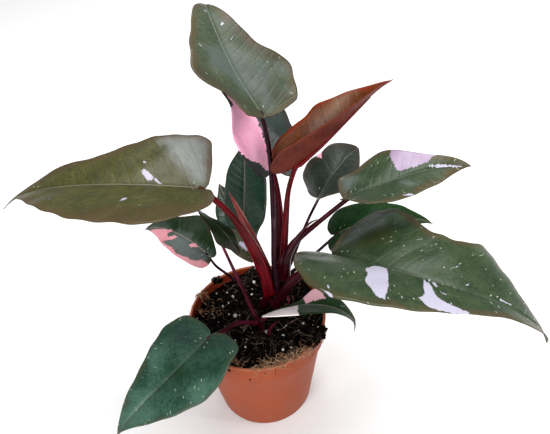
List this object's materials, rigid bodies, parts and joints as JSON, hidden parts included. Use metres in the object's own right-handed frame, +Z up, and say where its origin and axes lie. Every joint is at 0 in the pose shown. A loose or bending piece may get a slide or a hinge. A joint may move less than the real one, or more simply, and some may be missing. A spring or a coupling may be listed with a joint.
{
  "type": "potted pink princess philodendron",
  "caption": "House plant with heart-shaped dark green and pink variegated leaves on burgundy stalks, standing in soil in a round tapered nursery pot.",
  "frame": {"origin": "centre of the pot's flat base, where it rests", "axes": "+Z up, -Y towards the front of the plant, +X to the right as seen from the front"},
  "size_m": [0.409, 0.2189, 0.3537],
  "materials": {
    "dark_green": "waxy dark green leaf with cream flecks",
    "olive_green": "waxy olive green leaf",
    "blue_green": "waxy blue green leaf",
    "grey_green": "grey green leaf with pink edges",
    "pink": "pink leaf",
    "red_brown": "glossy new leaf",
    "stem_red": "smooth burgundy stem",
    "petiole_dark": "smooth dark purple leaf stalk",
    "petiole_pink": "smooth pink brown leaf stalk",
    "soil_black": "moist peat and bark mix with perlite",
    "terracotta_plastic": "satin moulded polypropylene"
  },
  "bodies": {
    "root": {"pot": "terracotta_plastic", "soil": "soil_black", "main_stem": "stem_red", "back_stem": "stem_red", "low_shoot": "stem_red", "young_shoot": "petiole_pink", "petiole_top": "petiole_dark", "petiole_pink": "petiole_dark", "petiole_new": "stem_red", "petiole_right_marbled": "stem_red", "petiole_right_large": "stem_red", "petiole_left_large": "stem_red", "petiole_right_back": "petiole_dark", "petiole_right_hidden": "petiole_dark", "petiole_back_upright": "petiole_dark", "petiole_back_left": "petiole_dark", "petiole_left_small": "petiole_pink", "petiole_left_folded": "petiole_dark", "petiole_left_pink_edge": "petiole_dark", "petiole_front_left": "petiole_pink", "petiole_front_right": "petiole_pink", "aerial_root": "petiole_pink", "blade_top": "dark_green", "blade_right_large": "dark_green", "blade_left_large": "olive_green", "blade_right_marbled": "dark_green", "blade_right_back": "dark_green", "blade_front_left": "blue_green", "blade_right_hidden": "dark_green", "blade_pink": "pink", "blade_new_rolled": "red_brown", "blade_back_upright": "dark_green", "blade_back_left": "blue_green", "blade_left_folded": "olive_green", "blade_left_pink_edge": "grey_green", "blade_left_small": "grey_green", "blade_front_right": "dark_green", "sheath_left_large": "petiole_pink"}
  },
  "joints": []
}
